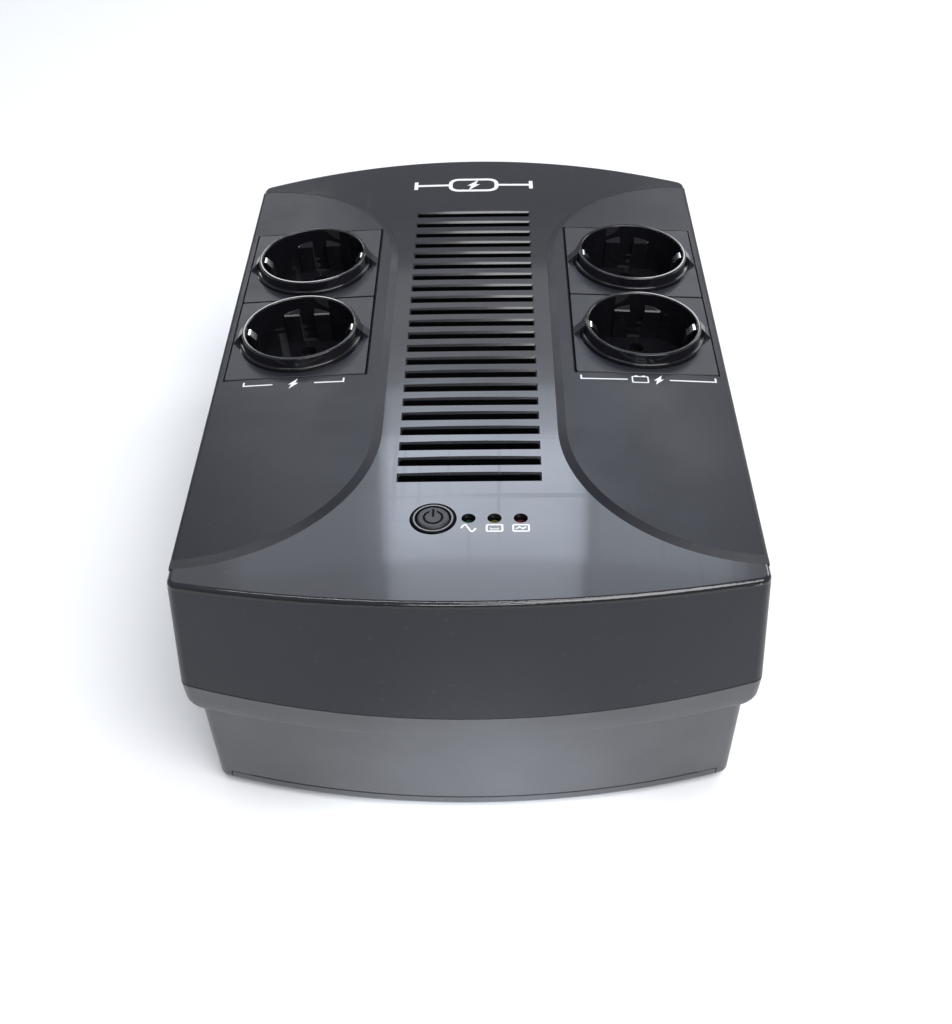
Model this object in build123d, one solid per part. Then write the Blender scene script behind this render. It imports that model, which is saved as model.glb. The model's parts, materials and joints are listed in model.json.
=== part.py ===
from build123d import *
import math
import os

# Desk-type uninterruptible power supply with four earthed outlets.
# Millimetres, +Z up, the front of the case faces -Y, the feet stand on Z = 0.

# ------------------------------------------------------------ case
HALF_W = 92.1          # half width of the deck
Y_FRONT = -128.5       # front corners of the deck
Y_BACK = 124.6         # back corners of the deck
BULGE_F = 13.2         # front wall bows out by this much
BULGE_B = 17.1         # back wall bows out by this much
CORNER_R = 4.0         # upright corners
FLARE = 2.2            # upper walls lean out down to the seam
WALL = 2.4             # moulded wall thickness
DECK_Z = 100.6         # crown of the two wings
PANEL_Z = 99.4         # crown of the glossy centre panel
PANEL_T = 2.0          # centre panel thickness
SHELF_Z = PANEL_Z - PANEL_T
SHELF_T = 2.2
CROWN_R = 1287.0       # the deck is a very flat barrel across X
EDGE_R = 1.6           # rounding of the panel edge
WING_EDGE_R = 1.3      # rounding of the outer wing edge
SEAM_Z = 50.3          # joint between upper and lower shell, at the middle
SEAM_R = 1400.0        # the joint rises towards the sides on this radius
SEAM_GAP = 0.5
FLANGE_Z = 46.3        # the lower shell turns inwards below this height
SKIRT_Z = 41.3
BASE_Z = 2.0           # underside of the case, the feet reach below it

# ------------------------------------------------------------ wings and panel
WING_X = 92.0          # centre of the wing corner curves
WING_A = 62.0          # half axis across
WING_BF = 64.5         # half axis along, front curve
WING_BB = 63.0         # half axis along, back curve
WING_Y0 = -57.5        # straight inner edge of a wing runs from here
WING_Y1 = 56.5         # to here
BEVEL_RUN = 2.8        # sloping edge between wing and panel
VENT_ROWS = 22
VENT_PITCH = 8.33
VENT_Y0 = -82.5
VENT_HALF = 23.25
VENT_OPEN = 3.5

# ------------------------------------------------------------ outlets (CEE 7/3 pattern)
OUT_X = 63.5
OUT_Y = (1.2, 53.1)
PLATE_X = 51.2
PLATE_Y = 51.5
PLATE_T = 2.6
RIM_H = 4.8
CUP_R = 20.0           # recess radius
CUP_DEPTH = 18.5       # below the rim
PIN_Y = 9.5            # contact holes, half spacing
PIN_HOLE_R = 2.9
CONTACT_BOX_H = 11.0

# ------------------------------------------------------------ controls
BTN_X = -11.2
CTRL_Y = -103.2
BTN_R = 5.2
BTN_GAP = 0.3
LED_X = (0.0, 8.2, 16.5)
PIPE_R = 2.2
PIPE_SUNK = 2.2        # the lights sit in small wells below the panel face
BOARD_TOP = 81.6       # display board, component side

# ------------------------------------------------------------ battery and hatch
BATT_X = 151.0         # 12 V 7 Ah block lying on its side
BATT_Y = 94.0
BATT_Z = 65.0
BATT_Y0 = -126.0
BATT_Z0 = 6.6
HATCH_HALF = 76.5
LIP_HALF = 83.5
LIP_TOP = 6.5
HATCH_Y1 = -38.4
SLIDE_GAP = 0.35
HATCH_TRAVEL = 14.0
TONGUE_Y = (-95.0, -72.0, -50.0)

# ------------------------------------------------------------ back panel
REAR_FLAT = 133.5      # flat, sunk connector field
REAR_HALF = 60.0
REAR_Z0 = 10.0
REAR_Z1 = 40.0
REAR_ZC = 25.5
INLET_X = -41.0
BREAKER_X = -11.0
JACK_X = (13.0, 31.0)
USB_X = 48.0

BOSSES = [(81.4, -119.0, 93.4), (81.4, -36.0, 96.3), (76.0, 106.0, 96.3)]
BOSS_R = 3.4
BOSS_Z0 = 12.0

os.makedirs("parts", exist_ok=True)


# ------------------------------------------------------------ helpers
def block(x0, x1, y0, y1, z0, z1):
    """Block between two opposite corners."""
    return Pos((x0 + x1) / 2, (y0 + y1) / 2, (z0 + z1) / 2) * Box(x1 - x0, y1 - y0, z1 - z0)


def post(x, y, z0, z1, r):
    """Upright cylinder."""
    return Pos(x, y, (z0 + z1) / 2) * Cylinder(r, z1 - z0)


def bar_y(x, z, y0, y1, r):
    """Cylinder along Y."""
    return Pos(x, (y0 + y1) / 2, z) * Rot(90, 0, 0) * Cylinder(r, y1 - y0)


def plan(gx, gy, z, corner=CORNER_R):
    """Outline of the case, grown by gx across and gy along, at height z."""
    hw = HALF_W + gx
    yf = Y_FRONT - gy
    yb = Y_BACK + gy
    edges = [
        ThreePointArc((-hw, yf), (0, yf - BULGE_F), (hw, yf)),
        Line((hw, yf), (hw, yb)),
        ThreePointArc((hw, yb), (0, yb + BULGE_B), (-hw, yb)),
        Line((-hw, yb), (-hw, yf)),
    ]
    face = make_face(edges)
    face = fillet(face.vertices(), radius=corner)
    return Pos(0, 0, z) * face


def crown(z_top, z_low=0.0, half=125.0):
    """Everything below the barrel-shaped deck surface."""
    drop = CROWN_R - math.sqrt(CROWN_R**2 - half**2)
    edges = [
        Line((-half, z_low), (half, z_low)),
        Line((half, z_low), (half, z_top - drop)),
        ThreePointArc((half, z_top - drop), (0, z_top), (-half, z_top - drop)),
        Line((-half, z_top - drop), (-half, z_low)),
    ]
    return extrude(Plane.XZ * make_face(edges), amount=200, both=True)


def crown_drop(x):
    """How far the deck has fallen at a distance x from its crown."""
    return CROWN_R - math.sqrt(CROWN_R**2 - x**2)


def below_seam(lift):
    """Everything below the joint of the two shells, which rises towards the sides."""
    half = 125.0
    z = SEAM_Z + lift
    rise = SEAM_R - math.sqrt(SEAM_R**2 - half**2)
    edges = [
        Line((-half, -20.0), (half, -20.0)),
        Line((half, -20.0), (half, z + rise)),
        ThreePointArc((half, z + rise), (0, z), (-half, z + rise)),
        Line((-half, z + rise), (-half, -20.0)),
    ]
    return extrude(Plane.XZ * make_face(edges), amount=200, both=True)


def wings(grow, z0, z1):
    """Both wing fields as upright prisms; grow shrinks them from the centre panel."""
    a = WING_A - grow
    bf = WING_BF - grow
    bb = WING_BB - grow
    far = 125.0
    edges = [
        Line((far, WING_Y0 - bf), (WING_X, WING_Y0 - bf)),
        EllipticalCenterArc((WING_X, WING_Y0), a, bf, start_angle=180, arc_size=90),
        Line((WING_X - a, WING_Y0), (WING_X - a, WING_Y1)),
        EllipticalCenterArc((WING_X, WING_Y1), a, bb, start_angle=90, arc_size=90),
        Line((WING_X, WING_Y1 + bb), (far, WING_Y1 + bb)),
        Line((far, WING_Y1 + bb), (far, WING_Y0 - bf)),
    ]
    right = extrude(Pos(0, 0, z0) * make_face(edges), amount=z1 - z0)
    return right + mirror(right, about=Plane.YZ)


def upper_block(inset, z_low, z_high):
    """Upper case volume, walls leaning out from the deck down to the seam."""
    slope = FLARE / (DECK_Z - SEAM_Z)
    g0 = slope * (DECK_Z - z_low) - inset
    g1 = slope * (DECK_Z - z_high) - inset
    corner = CORNER_R if inset < 0.1 else max(CORNER_R - inset, 1.2)
    return loft([plan(g0, g0, z_low, corner), plan(g1, g1, z_high, corner)], ruled=True)


def lower_block(inset, z_low, z_high):
    """Lower case volume: flush flange, rolled-in skirt, near-upright walls."""
    corner = CORNER_R if inset < 0.1 else max(CORNER_R - inset, 1.2)
    flange = loft([
        plan(1.6 - inset, 1.9 - inset, FLANGE_Z, corner),
        plan(FLARE - inset, 2.3 - inset, z_high, corner),
    ], ruled=True)
    steps = 5
    roll = 4.7
    sections = []
    for i in range(steps + 1):
        a = math.radians(90 * i / steps)
        gx = 1.6 - roll * (1 - math.cos(a)) - inset
        z = FLANGE_Z - (FLANGE_Z - SKIRT_Z) * math.sin(a)
        gy = 1.9 - 0.07 * (FLANGE_Z - z) - inset
        sections.append(plan(gx, gy, z, corner))
    skirt = loft(sections, ruled=True)
    body = loft([
        plan(-4.0 - inset, -1.2 - inset, z_low, corner),
        plan(1.6 - roll - inset, 1.55 - inset, SKIRT_Z, corner),
    ], ruled=True)
    return body + skirt + flange


def level_edges(shape, z):
    """Edges lying at one height."""
    return [e for e in shape.edges() if abs(e.center().Z - z) < 0.05 and e.length > 0.5]


def wire(points, r, start=(0, 0, 1), end=(0, 0, -1)):
    """Round lead along a smooth path that leaves and arrives along given directions."""
    path = Spline(*points, tangents=[start, end])
    return sweep(Plane(origin=path @ 0, z_dir=path % 0) * Circle(r), path=path)


def merge(shapes):
    """Separate solids of one node."""
    return Compound(children=[s for shape in shapes for s in shape.solids()])


# ------------------------------------------------------------ upper shell
case_up = upper_block(0.0, SEAM_Z - 2.0, DECK_Z + 1.0) - below_seam(SEAM_GAP / 2)
case_low = lower_block(0.0, BASE_Z, SEAM_Z + 5.0)
case_low = fillet(level_edges(case_low, BASE_Z), radius=2.4)


def deck_rim(shape):
    """Edges between a crowned top and the walls."""
    return [
        e for e in shape.edges()
        if e.center().Z > PANEL_Z - 4.5
        and abs(e.tangent_at(0.5).Z) < 0.3
        and (abs(e.center().X) > HALF_W - 3 or abs(e.center().Y) > -Y_FRONT - 6)
    ]


def control_cut(grow):
    """Cutters for the push button and the light pipes."""
    tools = [post(BTN_X, CTRL_Y, 80, 110, BTN_R + BTN_GAP + 2.0 + grow)]
    for x in LED_X:
        tools.append(post(x, CTRL_Y, 80, 110, PIPE_R + 0.05 + grow))
    return tools


PANEL_PINS = [
    (s * x, y) for s in (-1, 1) for x, y in ((66.0, -124.0), (28.1, -58.0), (28.1, 60.0), (56.0, 126.0))
]

# ---- top cover: two raised wings, walls, sunk shelf for the centre panel
raised = (case_up & crown(DECK_Z)) & wings(0.0, 90.0, DECK_Z + 5)
inner_rim = [
    e for e in raised.edges()
    if e.center().Z > DECK_Z - 4.5 and e.length > 60 and abs(e.center().X) < 60
]
raised = chamfer(inner_rim, length=BEVEL_RUN, length2=DECK_Z - PANEL_Z)
raised = fillet([e for e in raised.edges() if e.length > 200 and e.center().Z > 96.5], radius=WING_EDGE_R)
top_cover = (case_up & crown(SHELF_Z)) + raised
top_cover -= upper_block(WALL, SEAM_Z - 1, DECK_Z + 1) & crown(SHELF_Z - SHELF_T)
top_cover -= upper_block(WALL, 80, DECK_Z + 1) & wings(5.4, 80, DECK_Z + 1) & crown(DECK_Z - 2.6)
for side in (-1, 1):
    for x, y, z in BOSSES:
        top_cover += post(side * x, y, BOSS_Z0, z, BOSS_R)
for side in (-1, 1):
    x0, x1 = sorted((side * (OUT_X - PLATE_X / 2 - 0.35), side * (OUT_X + PLATE_X / 2 + 0.3)))
    y0 = OUT_Y[0] - PLATE_Y / 2 - 0.35
    y1 = OUT_Y[1] + PLATE_Y / 2 + 0.35
    top_cover -= block(x0, x1, y0, y1, 80, 110)
    # ledge the plates are screwed to, on the inner side
    xi = side * (OUT_X - PLATE_X / 2 - 0.35)
    ledge = block(*sorted((xi - side * 0.5, xi + side * 2.2)), y0 - 0.5, y1 + 0.5, 93.6, 96.6)
    top_cover += ledge & crown(DECK_Z - 3.2 - crown_drop(OUT_X) + 0.35)
    for x, y, z in BOSSES:
        top_cover -= post(side * x, y, BOSS_Z0 - 1, BOSS_Z0 + 16, 1.3)
vent_y = [VENT_Y0 + i * VENT_PITCH for i in range(VENT_ROWS)]
top_cover -= block(-26, 26, vent_y[0] - 4.4, vent_y[-1] + 4.4, 80, 99)
top_cover -= control_cut(0.6)
top_cover -= [post(x, y, 80, 110, 1.6) for x, y in PANEL_PINS]
# posts for the display board
for x in (-24.0, 26.0):
    top_cover += post(x, CTRL_Y, BOARD_TOP, 96.0, 2.8)
    top_cover -= post(x, CTRL_Y, BOARD_TOP - 1, 92.0, 1.1)
# stiffening ribs under the deck, either side of the grille
for side in (-1, 1):
    top_cover += block(*sorted((side * 30.4, side * 32.0)), -84, 96, 86.0, 96.0)

# ---- glossy centre panel
panel_full = case_up & crown(PANEL_Z)
panel_full = fillet(deck_rim(panel_full), radius=EDGE_R)
centre_panel = panel_full - crown(SHELF_Z) - wings(-0.05, 80, 110)
slot_cut = []
for y in vent_y:
    slot = block(-VENT_HALF, VENT_HALF, y - VENT_OPEN / 2, y + VENT_OPEN / 2, 90, 105)
    lead = Pos(0, y, PANEL_Z - 0.75) * Rectangle(2 * VENT_HALF, VENT_OPEN)
    slot_cut.append(fillet(slot.edges().filter_by(Axis.Z), radius=0.5))
    slot_cut.append(extrude(lead, amount=1.2, taper=-45))
centre_panel -= slot_cut
# a short rib behind each slot closes the straight look into the case
for y in vent_y:
    y0 = y + VENT_OPEN / 2
    centre_panel += block(-VENT_HALF - 1.0, VENT_HALF + 1.0, y0, y0 + 1.3, SHELF_Z - 2.0, SHELF_Z + 0.4)
centre_panel -= control_cut(0.0)
centre_panel += [post(x, y, SHELF_Z - 3.6, SHELF_Z + 0.5 - crown_drop(x), 1.5) for x, y in PANEL_PINS]

# ------------------------------------------------------------ lower shell
shell_in = lower_block(WALL, BASE_Z + WALL, SEAM_Z + 6)
connector_bay = block(-REAR_HALF, REAR_HALF, REAR_FLAT, 160, REAR_Z0, REAR_Z1)
bay_wall = block(-REAR_HALF - WALL, REAR_HALF + WALL, REAR_FLAT - WALL, 160, REAR_Z0 - WALL, REAR_Z1 + WALL)
lower_housing = (case_low - connector_bay) - (shell_in - bay_wall)
# thickened rim, then the tongue that locates the upper shell
tongue_out = upper_block(WALL + 0.15, SEAM_Z - 3.0, SEAM_Z + 5.5)
tongue_in = upper_block(WALL + 1.75, SEAM_Z - 5.0, SEAM_Z + 6.5)
root = upper_block(WALL - 0.7, SEAM_Z - 4.0, SEAM_Z + 4.5) - tongue_in
lower_housing = (lower_housing + root) & below_seam(-SEAM_GAP / 2)
lower_housing += tongue_out - tongue_in
lower_housing -= block(-REAR_HALF + 2, REAR_HALF - 2, 120, REAR_FLAT - WALL, SEAM_Z - 5, SEAM_Z + 7)
for side in (-1, 1):
    for x, y, z in BOSSES:
        lower_housing += post(side * x, y, BASE_Z + 1.0, BOSS_Z0, 4.3)
# battery bay: back wall, side rails and locating fins
lower_housing += block(-84.0, 84.0, BATT_Y0 + BATT_Y + 1.0, BATT_Y0 + BATT_Y + 2.8, BASE_Z + 1, 44.0)
for side in (-1, 1):
    lower_housing -= block(side * 65.0 - 6.5, side * 65.0 + 6.5, -34.0, -27.0, BASE_Z + WALL, 27.0)
    lower_housing += block(*sorted((side * 79.2, side * 81.0)), -111, -44, BASE_Z + 1, 42.0)
    for y in (-106.0, -84.0, -61.0):
        lower_housing += block(*sorted((side * 76.0, side * 79.5)), y - 1, y + 1, 8.0, 42.0)
# board posts and transformer pads
BOARD_POSTS = [(10.0, -18.0), (78.0, -18.0), (10.0, 92.0), (64.0, 92.0)]
BOARD_BASE = 11.0
for x, y in BOARD_POSTS:
    lower_housing += post(x, y, BASE_Z + 1, BOARD_BASE, 3.6)
    lower_housing -= post(x, y, BASE_Z + 3, BOARD_BASE + 1, 1.1)
TRAFO_X = -42.0
TRAFO_Y = 48.0
TRAFO_FEET = [(TRAFO_X - 38.6, TRAFO_Y), (TRAFO_X + 38.6, TRAFO_Y)]
for x, y in TRAFO_FEET:
    lower_housing += post(x, y, BASE_Z + 1, 7.0, 4.5)
    lower_housing -= post(x, y, BASE_Z + 0.6, 8.0, 1.5)
# air intake slots under the transformer
intake = []
for i in range(10):
    intake.append(block(TRAFO_X - 24, TRAFO_X - 4, TRAFO_Y - 30 + 6.5 * i, TRAFO_Y - 27.4 + 6.5 * i, 0, 6))
    intake.append(block(TRAFO_X + 4, TRAFO_X + 24, TRAFO_Y - 30 + 6.5 * i, TRAFO_Y - 27.4 + 6.5 * i, 0, 6))
lower_housing -= intake
for side in (-1, 1):
    for x, y, z in BOSSES:
        lower_housing -= post(side * x, y, 0, 6.2, 3.1)
        lower_housing -= post(side * x, y, 0, BOSS_Z0 + 1, 1.7)
# hatch opening, lip rebate and tongue notches
lip_band = block(-LIP_HALF - SLIDE_GAP, LIP_HALF + SLIDE_GAP, -150, -100, 0, LIP_TOP + SLIDE_GAP)
lower_housing -= lip_band - Pos(0, WALL + 0.5, 0) * case_low
lower_housing -= block(-HATCH_HALF - SLIDE_GAP, HATCH_HALF + SLIDE_GAP, -150, HATCH_Y1 + SLIDE_GAP, 0, 7.2)
for side in (-1, 1):
    for y in TONGUE_Y:
        y0 = y - HATCH_TRAVEL - 4.8
        lower_housing -= block(*sorted((side * 76.0, side * 78.9)), y0, y0 + 9.6, 0, 4.6)

# ---- battery hatch
hatch = case_low & block(-HATCH_HALF, HATCH_HALF, -150, HATCH_Y1, BASE_Z, BASE_Z + WALL)
lip = (case_low & block(-LIP_HALF, LIP_HALF, -150, -100, BASE_Z, LIP_TOP)) - Pos(0, WALL, 0) * case_low
hatch += lip
for side in (-1, 1):
    for y in TONGUE_Y:
        hatch += block(*sorted((side * 73.5, side * 76.4)), y - 4, y + 4, BASE_Z + 1.5, 6.2)
        hatch += block(*sorted((side * 73.5, side * 78.4)), y - 4, y + 4, 4.75, 6.2)
for i in range(5):
    hatch -= block(-16, 16, -118 + 4.0 * i, -116 + 4.0 * i, BASE_Z - 1, BASE_Z + 0.8)
for x in (-50.0, 0.0, 50.0):
    hatch += block(x - 1, x + 1, -120, -44, BASE_Z + 1.5, 6.0)
battery_hatch = hatch

# ---- feet
FEET = [(81.4, -84.0, 3.0), (72.0, 84.0, 6.0)]
feet = merge([
    fillet(block(s * x - w, s * x + w, y - 11, y + 11, 0, BASE_Z).edges().filter_by(Axis.Z), radius=w * 0.8)
    for s in (-1, 1) for x, y, w in FEET
])

# ---- case screws
def screw(x, y, z_head, r_head, h_head, r_shank, length, up=True):
    """Cross-recess pan screw driven along Z; up means the shank points up."""
    d = 1 if up else -1
    head = Pos(x, y, z_head + d * h_head / 2) * Cylinder(r_head, h_head)
    cross = Box(r_head * 1.1, 0.7, 1.4) + Box(0.7, r_head * 1.1, 1.4)
    shank = Pos(x, y, z_head + d * (h_head + length / 2)) * Cylinder(r_shank, length)
    return head + shank - Pos(x, y, z_head) * cross


case_screws = merge([
    screw(s * x, y, 4.0, 2.9, 2.1, 1.25, 19.0) for s in (-1, 1) for x, y, z in BOSSES
])


# ------------------------------------------------------------ outlets
def outlet_module():
    """Earthed outlet insert about its own centre, Z = 0 on the plate face."""
    plate = Pos(0, 0, -PLATE_T / 2) * Box(PLATE_X, PLATE_Y, PLATE_T)
    plate = fillet(plate.edges().filter_by(Axis.Z), radius=0.8)
    plate = fillet(plate.faces().sort_by(Axis.Z)[-1].edges(), radius=0.35)
    ring = Pos(0, 0, 0.75) * Cylinder(23.0, 1.5)
    ring = fillet(ring.edges().sort_by(Axis.Z)[-1:], radius=0.7)
    collar = Pos(0, 0, RIM_H / 2 - 0.5) * Cone(22.4, 21.5, RIM_H + 1.0)
    cup_z = RIM_H - CUP_DEPTH
    cup = Pos(0, 0, (cup_z - 2.5) / 2) * Cylinder(22.2, 2.5 - cup_z)
    body = plate + ring + collar + cup
    for s in (-1, 1):
        ear = make_face([
            Line((s * 20.8, -1.0), (s * 20.8, RIM_H - 0.5)),
            Line((s * 20.8, RIM_H - 0.5), (s * 21.6, RIM_H - 0.5)),
            Line((s * 21.6, RIM_H - 0.5), (s * 25.3, 0.3)),
            Line((s * 25.3, 0.3), (s * 25.3, -1.0)),
            Line((s * 25.3, -1.0), (s * 20.8, -1.0)),
        ])
        body += extrude(Plane.XZ * ear, amount=2.3, both=True)
    body -= Pos(0, 0, cup_z + 20) * Cylinder(CUP_R, 40)
    rim = [
        e for e in body.edges()
        if abs(e.center().Z - RIM_H) < 0.05 and e.length > 60
    ]
    body = fillet(rim, radius=0.55)
    for sy in (-1, 1):
        for sx in (-1, 1):
            profile = Polyline(
                (sy * 20.7, cup_z - 0.5), (sy * 20.7, 0.2), (sy * 17.3, -1.8),
                (sy * 17.3, cup_z - 0.5), (sy * 20.7, cup_z - 0.5),
            )
            guide = Pos(sx * 5.8, 0, 0) * extrude(Plane.YZ * make_face(profile), amount=2.9, both=True)
            guide &= Pos(0, 0, cup_z + 10) * Cylinder(CUP_R + 0.5, 30)
            body += guide
    for s in (-1, 1):
        boss = Pos(0, s * PIN_Y, cup_z + 0.4) * Cylinder(4.4, 0.8)
        body += boss
    for s in (-1, 1):
        body -= Pos(0, s * PIN_Y, cup_z - 1) * Cylinder(PIN_HOLE_R, 8)
        slot_x = s * (16.2 + 20.95) / 2
        body -= Pos(slot_x, 0, (cup_z - 1 + 3.9) / 2) * Box(20.95 - 16.2, 4.6, 3.9 - cup_z + 1)
        body -= Pos(s * 18.4, 0, cup_z - 1.5) * Box(2.4, 4.6, 6)
    return body


def contact_bases():
    """Insulating boxes under the floor that hold the two contact sleeves."""
    z1 = RIM_H - CUP_DEPTH - 2.52
    boxes = []
    for s in (-1, 1):
        box = Pos(0, s * PIN_Y, z1 - CONTACT_BOX_H / 2) * Box(15, 12, CONTACT_BOX_H)
        box = fillet(box.edges().filter_by(Axis.Z), radius=1.0)
        boxes.append(box - Pos(0, s * PIN_Y, z1 - CONTACT_BOX_H / 2) * Cylinder(4.0, CONTACT_BOX_H + 2))
    return merge(boxes)


def earth_clip():
    """One bent strip, both earthing springs and the link under the floor."""
    floor_z = RIM_H - CUP_DEPTH - 2.5
    half = [
        (20.2, 2.6), (19.2, 3.2), (16.9, 0.4), (16.6, -3.6), (18.4, -11.5), (18.4, floor_z - 0.65),
    ]
    pts = half + [(-x, z) for x, z in reversed(half)]
    strip = trace(FilletPolyline(*pts, radius=0.7), line_width=0.8)
    return extrude(Plane.XZ * strip, amount=1.9, both=True)


def contact_rail(s):
    """Brass strip with a split sleeve under each outlet of a pair, seated like outlet y = 0."""
    z1 = RIM_H - CUP_DEPTH - 2.7
    z0 = z1 - CONTACT_BOX_H + 0.2
    x = s * 2.75
    y_end = OUT_Y[1] - OUT_Y[0]
    rail = block(x - 2.2, x + 2.2, s * PIN_Y - 6, y_end + s * PIN_Y + 6, z0 - 1.6, z0 - 0.6)
    for y in (0.0, y_end):
        tube = Cylinder(3.1, z1 - z0) - Cylinder(2.45, z1 - z0 + 1)
        tube -= Pos(0, 3, 1.5) * Box(0.7, 3, z1 - z0 - 2)
        rail += Pos(0, y + s * PIN_Y, (z0 + z1) / 2) * tube
        rail += Pos(x, y + s * PIN_Y, z0 - 0.4) * Box(0.6, 2.6, 1.6)
    return rail


TILT = math.degrees(math.asin(OUT_X / CROWN_R))


def seat(side, y):
    """Where an outlet insert sits in a wing."""
    return Pos(side * OUT_X, y, DECK_Z - crown_drop(OUT_X)) * Rot(0, side * TILT, 0)


NODES = {
    "top_cover": top_cover,
    "centre_panel": centre_panel,
    "lower_housing": lower_housing,
    "battery_hatch": battery_hatch,
    "feet": feet,
    "case_screws": case_screws,
}
outlet = outlet_module()
clip = earth_clip()
bases = []
for side, sname in ((-1, "left"), (1, "right")):
    for y, yname in zip(OUT_Y, ("front", "back")):
        where = seat(side, y)
        tag = yname + "_" + sname
        NODES["outlet_" + tag] = where * outlet
        NODES["earth_clip_" + tag] = where * clip
        bases.append(where * contact_bases())
    rails = merge([contact_rail(-1), contact_rail(1)])
    NODES["contact_rails_" + sname] = seat(side, OUT_Y[0]) * rails

NODES["outlet_bases"] = merge(bases)

# ------------------------------------------------------------ control group
bezel = post(BTN_X, CTRL_Y, PANEL_Z - 6.0, PANEL_Z + 0.3, BTN_R + BTN_GAP + 1.98)
bezel = chamfer(bezel.edges().sort_by(Axis.Z)[-1:], length=0.6)
bezel -= post(BTN_X, CTRL_Y, 80, 110, BTN_R + BTN_GAP)
NODES["button_bezel"] = bezel

cap = post(BTN_X, CTRL_Y, PANEL_Z - 7.6, PANEL_Z + 0.6, BTN_R)
cap = fillet(cap.edges().sort_by(Axis.Z)[-1:], radius=0.7)
mark = post(BTN_X, CTRL_Y, PANEL_Z + 0.25, 110, 3.3) - post(BTN_X, CTRL_Y, 90, 111, 2.6)
mark -= block(BTN_X - 1.1, BTN_X + 1.1, CTRL_Y, CTRL_Y + 5, 90, 111)
mark += block(BTN_X - 0.32, BTN_X + 0.32, CTRL_Y + 0.4, CTRL_Y + 3.9, PANEL_Z + 0.25, 110)
cap -= mark
cap += post(BTN_X, CTRL_Y, PANEL_Z - 7.6, PANEL_Z - 6.35, BTN_R + 1.5)
cap += post(BTN_X, CTRL_Y, 90.0, PANEL_Z - 7.2, 2.0)
NODES["power_button"] = cap
plunger = block(BTN_X - 1.5, BTN_X + 1.5, CTRL_Y - 1.5, CTRL_Y + 1.5, 84.6, 90.0)
NODES["switch_plunger"] = plunger
switch = block(BTN_X - 4, BTN_X + 4, CTRL_Y - 4, CTRL_Y + 4, BOARD_TOP, 87.6)
switch -= block(BTN_X - 1.8, BTN_X + 1.8, CTRL_Y - 1.8, CTRL_Y + 1.8, 82.4, 90)
NODES["switch_body"] = switch

names = ("green", "yellow", "red")
diodes = []
for x, name in zip(LED_X, names):
    pipe = post(x, CTRL_Y, 86.6, PANEL_Z - PIPE_SUNK, PIPE_R)
    pipe = fillet(pipe.edges().sort_by(Axis.Z)[-1:], radius=0.9)
    pipe += post(x, CTRL_Y, 91.6, 93.0, PIPE_R + 0.9)
    NODES["light_pipe_" + name] = pipe
    diode = post(x, CTRL_Y, BOARD_TOP, 82.6, 1.9) + post(x, CTRL_Y, 82.5, 84.6, 1.5)
    diodes.append(diode + Pos(x, CTRL_Y, 84.6) * (Sphere(1.5) - Pos(0, 0, -2) * Box(4, 4, 4)))
NODES["status_leds"] = merge(diodes)
display_board = block(-28, 30, CTRL_Y - 9, CTRL_Y + 11, BOARD_TOP - 1.6, BOARD_TOP)
for x in (-24.0, 26.0):
    display_board -= post(x, CTRL_Y, 70, 90, 1.5)
NODES["display_board"] = display_board
board_screws = [screw(x, CTRL_Y, BOARD_TOP - 1.6 - 1.8, 2.7, 1.8, 1.05, 6.0) for x in (-24.0, 26.0)]

# ------------------------------------------------------------ battery
bx = BATT_X / 2
BATT_Y1 = BATT_Y0 + BATT_Y
LID_Y = BATT_Y1 - 7.0
case = block(-bx, bx, BATT_Y0, LID_Y - 0.02, BATT_Z0, BATT_Z0 + BATT_Z)
case = fillet(case.edges().filter_by(Axis.Y), radius=2.0)
case = fillet(case.faces().sort_by(Axis.Y)[0].edges(), radius=1.2)
NODES["battery_case"] = case
lid = block(-bx, bx, LID_Y, BATT_Y1 - 2.6, BATT_Z0, BATT_Z0 + BATT_Z)
lid += block(-bx + 3, bx - 3, LID_Y, BATT_Y1, BATT_Z0 + 22, BATT_Z0 + BATT_Z - 4)
TERM_X = (-65.0, 65.0)
TERM_Z = BATT_Z0 + 12.0
NODES["battery_lid"] = lid
NODES["battery_terminals"] = merge([
    block(x - 2.4, x + 2.4, BATT_Y1 - 2.58, BATT_Y1 + 0.4, TERM_Z - 0.4, TERM_Z + 0.4)
    for x in TERM_X
])

# ------------------------------------------------------------ transformer
CORE_W = 66.0
CORE_H = 55.0
CORE_D = 34.0
TRAFO_Z = 7.6 + CORE_H / 2
core = Box(CORE_W, CORE_D, CORE_H)
for s in (-1, 1):
    core -= Pos(s * CORE_W / 4, 0, 0) * Box(CORE_W / 6, CORE_D + 1, CORE_W / 2)
tube = Box(CORE_W / 3 + 3.0, CORE_D + 3.0, CORE_W / 2 - 0.4)
tube -= Box(CORE_W / 3 + 0.1, CORE_D + 0.1, CORE_W)
flange = Box(2 * CORE_W / 3 - 0.6, CORE_D + 24.0, 1.4) - Box(CORE_W / 3 + 0.1, CORE_D + 0.1, 3)
bobbin = tube
for s in (-1, 1):
    bobbin += Pos(0, 0, s * (CORE_W / 4 - 0.9)) * flange
coil = Box(2 * CORE_W / 3 - 1.4, CORE_D + 22.0, CORE_W / 2 - 3.4)
coil = fillet(coil.edges().filter_by(Axis.Z), radius=8)
coil -= Box(CORE_W / 3 + 3.04, CORE_D + 3.04, CORE_W)
strap = Box(CORE_W + 3.2, 20, CORE_H + 1.6) - Pos(0, 0, -0.8) * Box(CORE_W + 0.06, 30, CORE_H + 0.06)
at_trafo = Pos(TRAFO_X, TRAFO_Y, TRAFO_Z)
NODES["transformer_core"] = at_trafo * core
NODES["transformer_bobbin"] = at_trafo * bobbin
NODES["transformer_winding"] = at_trafo * coil
strap = Pos(TRAFO_X, TRAFO_Y, TRAFO_Z + 0.8) * strap
strap -= block(-90, 10, TRAFO_Y - 20, TRAFO_Y + 20, 0, 7.05)
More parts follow.
